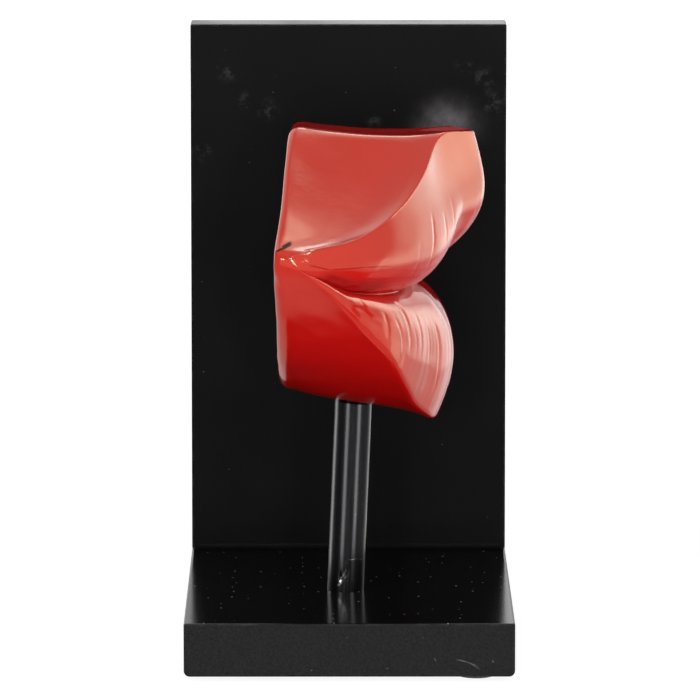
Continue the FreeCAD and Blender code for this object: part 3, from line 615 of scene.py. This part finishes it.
def black_base():
    """Satin black lacquer on the base board: glossier on top, grained on the cut edges, dusty and scratched."""
    material, tree, shader, place = finish_tree("black_base")
    facing = put(tree, "ShaderNodeSeparateXYZ", {"Vector": put(tree, "ShaderNodeNewGeometry").outputs["Normal"]})
    top = ramp(tree, facing.outputs["Z"], 0.4, 0.9, 0.0, 1.0)
    grain = cloud(tree, place, 1100.0, 3.0, 0.7)
    ground = put(tree, "ShaderNodeMapping", {"Vector": flat_face(tree, place, "XY"), "Scale": (1.0, 0.5, 1.0)}).outputs[0]
    dust_top = specks(tree, ground, 210.0, 0.00032, 0.42)
    front = ramp(tree, facing.outputs["Y"], -0.5, -0.9, 0.0, 1.0)
    edge_face = flat_face(tree, place, "XZ")
    dust_front = specks(tree, edge_face, 160.0, 0.00022, 0.10)
    scratched = strokes(tree, edge_face, ((39.4, 6.9, 8.0, 0.22, -20.0), (41.4, 5.8, 5.0, 0.20, -32.0),
                                          (37.0, 7.5, 4.0, 0.18, -14.0), (47.6, 7.3, 1.0, 0.40, -70.0),
                                          (28.4, 7.9, 1.8, 0.22, -60.0)))
    marks = sums(tree, "MULTIPLY", sums(tree, "MAXIMUM", dust_front, scratched), front)
    worn = rubbed_edges(tree, place, (-BOARD_WIDTH / 2, -BOARD_DEPTH / 2, 2.0), (BOARD_WIDTH / 2, BOARD_DEPTH / 2, BASE_TOP))
    grain = ramp(tree, grain, 0.3, 0.7, 0.0, 1.0)
    tone = two_tone(tree, grain, (0.0005, 0.0005, 0.0005), (0.0074, 0.0074, 0.0076))
    tone_top = two_tone(tree, cloud(tree, place, 70.0, 5.0), (0.0022, 0.0022, 0.0023), (0.0044, 0.0044, 0.0045))
    both = put(tree, "ShaderNodeMix", data_type="RGBA")
    tree.links.new(top, both.inputs[0])
    tree.links.new(tone, both.inputs[6])
    tree.links.new(tone_top, both.inputs[7])
    tone = two_tone(tree, worn, both.outputs[2], (0.024, 0.024, 0.025))
    tone = two_tone(tree, sums(tree, "MULTIPLY", dust_top, top), tone, (0.26, 0.257, 0.254))
    tone = two_tone(tree, marks, tone, (0.13, 0.128, 0.125))
    tree.links.new(tone, shader.inputs["Base Color"])
    tree.links.new(ramp(tree, top, 0.0, 1.0, 0.52, 0.16, False), shader.inputs["Roughness"])
    shader.inputs["Specular IOR Level"].default_value = 0.15
    relief(tree, shader, sums(tree, "MULTIPLY", grain, ramp(tree, top, 0.0, 1.0, 1.0, 0.03, False)), 0.00006)
    return material


def black_chrome():
    """Dark polished bar: fine drawn lines along its length, small pits, and a dark band of painted shade at its top
    under the lips.
    """
    material, tree, shader, place = finish_tree("black_chrome")
    lines = cloud(tree, place, 1800.0, 2.0, 0.5, (1.0, 1.0, 0.02))
    face = flat_face(tree, place, "XZ")
    pits = specks(tree, face, 420.0, 0.00016, 0.25)
    cuts = strokes(tree, face, ((-2.6, 24.6, 6.0, 0.9, 66.0), (-1.2, 26.4, 4.2, 0.5, 80.0), (-3.4, 22.6, 2.6, 0.7, 40.0),
                                (1.6, 31.4, 4.4, 0.26, 4.0), (4.2, 31.0, 2.4, 0.26, -28.0)))
    tone = two_tone(tree, lines, (0.0070, 0.0070, 0.0074), (0.0105, 0.0105, 0.0110))
    tone = two_tone(tree, pits, tone, (0.05, 0.05, 0.052))
    tone = two_tone(tree, sums(tree, "MULTIPLY", cuts, ramp(tree, cloud(tree, place, 900.0), 0.35, 0.6, 0.0, 1.0)), tone, (0.09, 0.09, 0.094))
    # Painted shade: a dark band at the top of the bar where it meets the lips, along their sloping underside.
    slope = put(tree, "ShaderNodeVectorMath", {0: place, 1: (0.095, 0.0, 1.0)}, operation="DOT_PRODUCT").outputs["Value"]
    tone = two_tone(tree, ramp(tree, slope, 0.0846, 0.0850, 0.0, 1.0), tone, (0.0004, 0.0004, 0.0004))
    tree.links.new(tone, shader.inputs["Base Color"])
    shader.inputs["Metallic"].default_value = 1.0
    tree.links.new(ramp(tree, lines, 0.3, 0.7, 0.19, 0.27), shader.inputs["Roughness"])
    relief(tree, shader, cloud(tree, place, 500.0, 2.0), 0.000006)
    return material


def filler_black():
    """Brushed filler under black lacquer."""
    material, tree, shader, place = finish_tree("filler_black")
    tone = two_tone(tree, cloud(tree, place, 400.0, 3.0), (0.0014, 0.0014, 0.0015), (0.0034, 0.0034, 0.0035))
    tree.links.new(tone, shader.inputs["Base Color"])
    tree.links.new(ramp(tree, cloud(tree, place, 300.0), 0.3, 0.7, 0.36, 0.50), shader.inputs["Roughness"])
    shader.inputs["Specular IOR Level"].default_value = 0.04
    relief(tree, shader, cloud(tree, place, 700.0, 3.0), 0.00008)
    return material


def pad_rubber():
    """Matte black rubber with a fine moulded grain."""
    material, tree, shader, place = finish_tree("pad_rubber")
    tone = two_tone(tree, cloud(tree, place, 900.0, 4.0), (0.012, 0.012, 0.012), (0.028, 0.028, 0.028))
    tree.links.new(tone, shader.inputs["Base Color"])
    tree.links.new(ramp(tree, cloud(tree, place, 600.0), 0.3, 0.7, 0.62, 0.8), shader.inputs["Roughness"])
    relief(tree, shader, cloud(tree, place, 1800.0, 2.0), 0.00005)
    return material


def beech():
    """Plain beech dowel with grain along its length."""
    material, tree, shader, place = finish_tree("beech")
    grain = cloud(tree, place, 900.0, 4.0, 0.6, (1.0, 1.0, 0.06))
    tone = two_tone(tree, grain, (0.42, 0.24, 0.12), (0.66, 0.45, 0.27))
    tree.links.new(tone, shader.inputs["Base Color"])
    tree.links.new(ramp(tree, grain, 0.2, 0.8, 0.5, 0.7), shader.inputs["Roughness"])
    relief(tree, shader, grain, 0.00005)
    return material


def plated_metal(name, dull, bright):
    """Turned and plated metal with fine rings and a cloudy plating."""
    material, tree, shader, place = finish_tree(name)
    rings = cloud(tree, place, 2200.0, 2.0, 0.5, (0.05, 0.05, 1.0))
    tone = two_tone(tree, cloud(tree, place, 260.0, 4.0), dull, bright)
    tree.links.new(tone, shader.inputs["Base Color"])
    shader.inputs["Metallic"].default_value = 1.0
    tree.links.new(ramp(tree, rings, 0.3, 0.7, 0.26, 0.42), shader.inputs["Roughness"])
    relief(tree, shader, rings, 0.00003)
    return material


def dress(piece, material):
    """One material on the whole of a piece or a carried-over node."""
    piece.data.materials.clear()
    piece.data.materials.append(material)


# ---- stage, light and camera

def pale_floor():
    """A plain pale ground that carries a faint contact shadow and is even white further out."""
    edge = 6.0
    corners = np.array([(-edge, -edge, -0.0002), (edge, -edge, -0.0002), (edge, edge, -0.0002), (-edge, edge, -0.0002)])
    mesh = bpy.data.meshes.new("floor")
    mesh.from_pydata(corners.tolist(), [], [(0, 1, 2, 3)])
    floor = bpy.data.objects.new("floor", mesh)
    bpy.context.scene.collection.objects.link(floor)
    material, tree, shader, place = finish_tree("pale_floor")
    shader.inputs["Base Color"].default_value = (0.36, 0.36, 0.36, 1.0)
    shader.inputs["Roughness"].default_value = 1.0
    shader.inputs["Specular IOR Level"].default_value = 0.0
    shader.inputs["Emission Color"].default_value = (1.0, 1.0, 1.0, 1.0)
    out = put(tree, "ShaderNodeVectorMath", {0: place}, operation="LENGTH").outputs["Value"]
    tree.links.new(ramp(tree, out, 0.15, 0.7, 0.90, 1.05), shader.inputs["Emission Strength"])
    dress(floor, material)
    for flag in ("visible_diffuse", "visible_glossy", "visible_transmission", "visible_shadow"):
        setattr(floor, flag, False)


def soft_box(name, centre, target, width, height, radiance, unseen):
    """A rectangular light of an even radiance, turned to a point; unseen is the kind of ray that misses it."""
    light = bpy.data.lights.new(name, "AREA")
    light.shape = "RECTANGLE"
    light.size = width
    light.size_y = height
    light.energy = radiance * math.pi * width * height
    lamp = bpy.data.objects.new(name, light)
    bpy.context.scene.collection.objects.link(lamp)
    lamp.location = centre
    lamp.rotation_euler = (Vector(target) - Vector(centre)).to_track_quat("-Z", "Y").to_euler()
    lamp.visible_camera = False
    setattr(lamp, unseen, False)
    return lamp


def pane(tree, angle, low, high, soft_low, soft_high):
    """1 between two angles in degrees, with edges of the given softness."""
    opens = ramp(tree, angle, low - soft_low / 2, low + soft_low / 2, 0.0, 1.0)
    shuts = ramp(tree, angle, high - soft_high / 2, high + soft_high / 2, 1.0, 0.0)
    return sums(tree, "MULTIPLY", opens, shuts)


def studio():
    """White surroundings in the picture, a room of soft panes for the shine, and soft boxes for the body colour.

    The room is given by the compass angle, 0 in front and 90 on the right, and the height angle.
    """
    world = bpy.data.worlds.new("studio")
    bpy.context.scene.world = world
    world.use_nodes = True
    world.cycles_visibility.diffuse = False
    tree = world.node_tree
    tree.nodes.clear()
    out = tree.nodes.new("ShaderNodeOutputWorld")
    way = put(tree, "ShaderNodeSeparateXYZ", {0: tree.nodes.new("ShaderNodeTexCoord").outputs["Generated"]})
    x, y, z = way.outputs
    round_ = sums(tree, "DEGREES", sums(tree, "ARCTAN2", x, sums(tree, "MULTIPLY", y, -1.0)))
    height = sums(tree, "DEGREES", sums(tree, "ARCSINE", z))
    rear = sums(tree, "DEGREES", sums(tree, "ARCTAN2", x, y))

    room = sums(tree, "ADD", ramp(tree, height, -18.0, -10.0, 0.75, 0.70), ramp(tree, height, 35.0, 65.0, 0.0, 0.50))
    panes = (
        # angle, from, to, softness of both edges; height from, to, softness of both edges; radiance
        (rear, -22, 22, 10, 10, 14, 44, 4, 8, -0.55),
        (rear, -9, 9, 5, 5, 1, 7.5, 2, 2, 0.15),
        (rear, -1, 5, 3, 4, 8, 13, 2, 3, 0.9),
        (rear, 15, 68, 10, 12, -15, 10, 10, 20, 0.5),
        (rear, -10, 55, 50, 60, 52, 79, 24, 16, 2.1),
        (rear, -9, 12, 8, 8, 44, 60, 6, 8, 5.0),
        (round_, -166, -112, 12, 20, -5, 60, 10, 20, 1.2),
        (round_, 108, 150, 30, 20, 60, 75, 10, 8, 0.5),
        (round_, -20, 92, 20, 24, -28, 12, 3, 10, 0.75),
        (round_, -155, -95, 20, 20, -70, -20, 15, 15, 0.35),
        (round_, -11, -8.4, 0.4, 0.4, 6, 32, 2, 2, 32.0),
        (round_, -2.4, 1.2, 0.4, 0.4, -4.6, -2.6, 0.4, 0.4, 44.0),
        (round_, 9, 12, 0.5, 0.5, 1.4, 8, 0.4, 1, 44.0),
        (round_, 30, 70, 24, 12, 22, 65, 20, 20, 1.1),
        (round_, 62, 118, 20, 25, -40, -12, 14, 8, 1.0),
        (round_, 120, 150, 16, 14, -36, 17, 8, 6, 1.1),
    )
    for angle, first, last, soft, soft_last, low, high, soft_low, soft_high, radiance in panes:
        part = sums(tree, "MULTIPLY", pane(tree, angle, first, last, soft, soft_last),
                    pane(tree, height, low, high, soft_low, soft_high))
        room = sums(tree, "MULTIPLY_ADD", part, radiance, room)
    seen = put(tree, "ShaderNodeLightPath").outputs["Is Camera Ray"]
    strength = put(tree, "ShaderNodeMix", {0: seen, 2: room, 3: 1.0}).outputs[0]
    glow = put(tree, "ShaderNodeBackground", {"Color": (1.0, 1.0, 1.0, 1.0), "Strength": strength})
    tree.links.new(glow.outputs[0], out.inputs["Surface"])

    middle = (0.0, 0.0, 0.12)
    soft_box("key_front", (0.0, -1.5, 0.62), middle, 3.2, 2.0, 2.3, "visible_glossy")
    soft_box("bounce_near", (0.0, -0.16, -0.35), (0.0, -0.07, 0.12), 0.5, 0.14, 4.0, "visible_glossy")
    soft_box("bounce_low", (0.0, -0.3, -0.5), (0.0, -0.06, 0.12), 1.0, 0.35, 0.55, "visible_glossy")
    soft_box("bounce_right", (0.5, 0.1, -0.3), (0.02, -0.02, 0.12), 0.5, 0.4, 2.1, "visible_glossy")
    soft_box("fill_right", (1.6, 0.0, 0.4), middle, 1.4, 1.2, 0.15, "visible_glossy")
    soft_box("fill_left", (-1.6, 0.2, 0.5), middle, 1.4, 1.2, 1.2, "visible_glossy")
    soft_box("fill_rear", (0.0, 1.6, 0.6), middle, 2.0, 1.4, 0.7, "visible_glossy")

    card = soft_box("card_right", (0.13, 0.03, 0.1575), (0.0, 0.03, 0.1575), 0.27, 0.285, 1.0, "visible_diffuse")
    shade_card(card.data)
    light_only(card, "lips_red")
    card = soft_box("card_top", (0.0005, -0.0565, 0.22), (0.0005, -0.0565, 0.15), 0.034, 0.026, 3.9, "visible_diffuse")
    soft_edges(card.data)
    light_only(card, "lips_red")
    for name, centre, radiance in (("strip_left", (-0.42, -0.68, 0.06), 22.0), ("strip_right", (0.50, -0.63, 0.06), 22.0),
                                   ("strip_edge", (-0.55, 0.30, 0.06), 5.0)):
        strip = soft_box(name, centre, (0.0, 0.0, 0.05), 0.24, 0.6, radiance, "visible_diffuse")
        light_only(strip, "post_bar")


def light_only(lamp, piece):
    """Lets a light fall on one piece alone."""
    chosen = bpy.data.collections.new(lamp.name + "_reach")
    chosen.objects.link(bpy.data.objects[piece])
    lamp.light_linking.receiver_collection = chosen


def soft_edges(light):
    """Fades a small card from its middle to its edges."""
    light.use_nodes = True
    tree = light.node_tree
    tree.nodes.clear()
    out = tree.nodes.new("ShaderNodeOutputLight")
    over = put(tree, "ShaderNodeSeparateXYZ", {0: tree.nodes.new("ShaderNodeNewGeometry").outputs["Parametric"]})
    strength = sums(tree, "MULTIPLY", pane(tree, over.outputs[0], 0.2, 0.8, 0.4, 0.4),
                    pane(tree, over.outputs[1], 0.2, 0.8, 0.4, 0.4))
    glow = put(tree, "ShaderNodeEmission", {"Strength": strength})
    tree.links.new(glow.outputs[0], out.inputs["Surface"])


def shade_card(light):
    """Fades the white card beside the lips: its near edge slants, it dims to the far end and steps up with height."""
    light.use_nodes = True
    tree = light.node_tree
    tree.nodes.clear()
    out = tree.nodes.new("ShaderNodeOutputLight")
    over = put(tree, "ShaderNodeSeparateXYZ", {0: tree.nodes.new("ShaderNodeNewGeometry").outputs["Parametric"]})
    along, up = over.outputs[0], sums(tree, "MULTIPLY_ADD", over.outputs[1], 1.9, -0.3)
    rise = sums(tree, "MINIMUM", sums(tree, "MULTIPLY_ADD", up, 0.95, -0.305), 0.17)
    edge = sums(tree, "MINIMUM", rise, sums(tree, "MULTIPLY_ADD", up, -0.5, 0.52))
    near = ramp(tree, sums(tree, "SUBTRACT", along, edge), -0.15, 0.15, 0.0, 1.0)
    far = ramp(tree, sums(tree, "ADD", along, ramp(tree, up, 0.7, 0.9, 0.0, 0.12)), 0.45, 0.75, 1.0, 0.25)
    foot = sums(tree, "MAXIMUM", ramp(tree, up, -0.02, 0.08, 0.0, 1.0), ramp(tree, along, 0.12, 0.28, 1.0, 0.2))
    foot = sums(tree, "MULTIPLY", foot, ramp(tree, up, -0.28, -0.18, 0.0, 1.0))
    strength = sums(tree, "ADD", ramp(tree, up, 0.05, 0.35, 1.9, 2.6), ramp(tree, up, 0.3, 0.5, 0.0, 1.8))
    strength = sums(tree, "ADD", strength, ramp(tree, up, 0.7, 0.9, 0.0, 2.6))
    for part in (near, far, foot):
        strength = sums(tree, "MULTIPLY", strength, part)
    glow = put(tree, "ShaderNodeEmission", {"Strength": strength})
    tree.links.new(glow.outputs[0], out.inputs["Surface"])


def camera():
    """The photograph's viewpoint: a long lens, 2.3 m in front and a little above."""
    data = bpy.data.cameras.new("camera")
    data.sensor_width = 36.0
    data.lens = 350.75
    data.clip_end = 50.0
    item = bpy.data.objects.new("camera", data)
    bpy.context.scene.collection.objects.link(item)
    item.location = (-0.005045, -2.298424, 0.447226)
    item.rotation_euler = (math.radians(90 - 8.592), 0.0, math.radians(-0.135))
    bpy.context.scene.camera = item


lips = make_lips()
post = make_post()
filler = make_filler()
pads = [make_pad("front_left", -42.2, -56.5), make_pad("front_right", 42.2, -64.5),
        make_pad("rear_left", -42.2, 63.5), make_pad("rear_right", 42.2, 63.5)]

dress(lips, red_lacquer())
dress(post, black_chrome())
dress(filler, filler_black())
rubber = pad_rubber()
for pad in pads:
    dress(pad, rubber)
dress(NODES["base_board"], black_base())
dress(NODES["back_panel"], black_panel())
dowel_wood = beech()
zinc = plated_metal("zinc_steel", (0.46, 0.47, 0.48), (0.66, 0.66, 0.65))
for side in ("left", "right"):
    dress(NODES["panel_dowel_" + side], dowel_wood)
    dress(NODES["panel_screw_" + side], zinc)
for name in ("post_screw", "post_washer", "post_stud"):
    dress(NODES[name], zinc)
dress(NODES["lips_insert"], plated_metal("brass", (0.60, 0.40, 0.16), (0.80, 0.60, 0.28)))

pale_floor()
studio()
camera()
view = bpy.context.scene.view_settings
view.view_transform = "Standard"
view.look = "None"
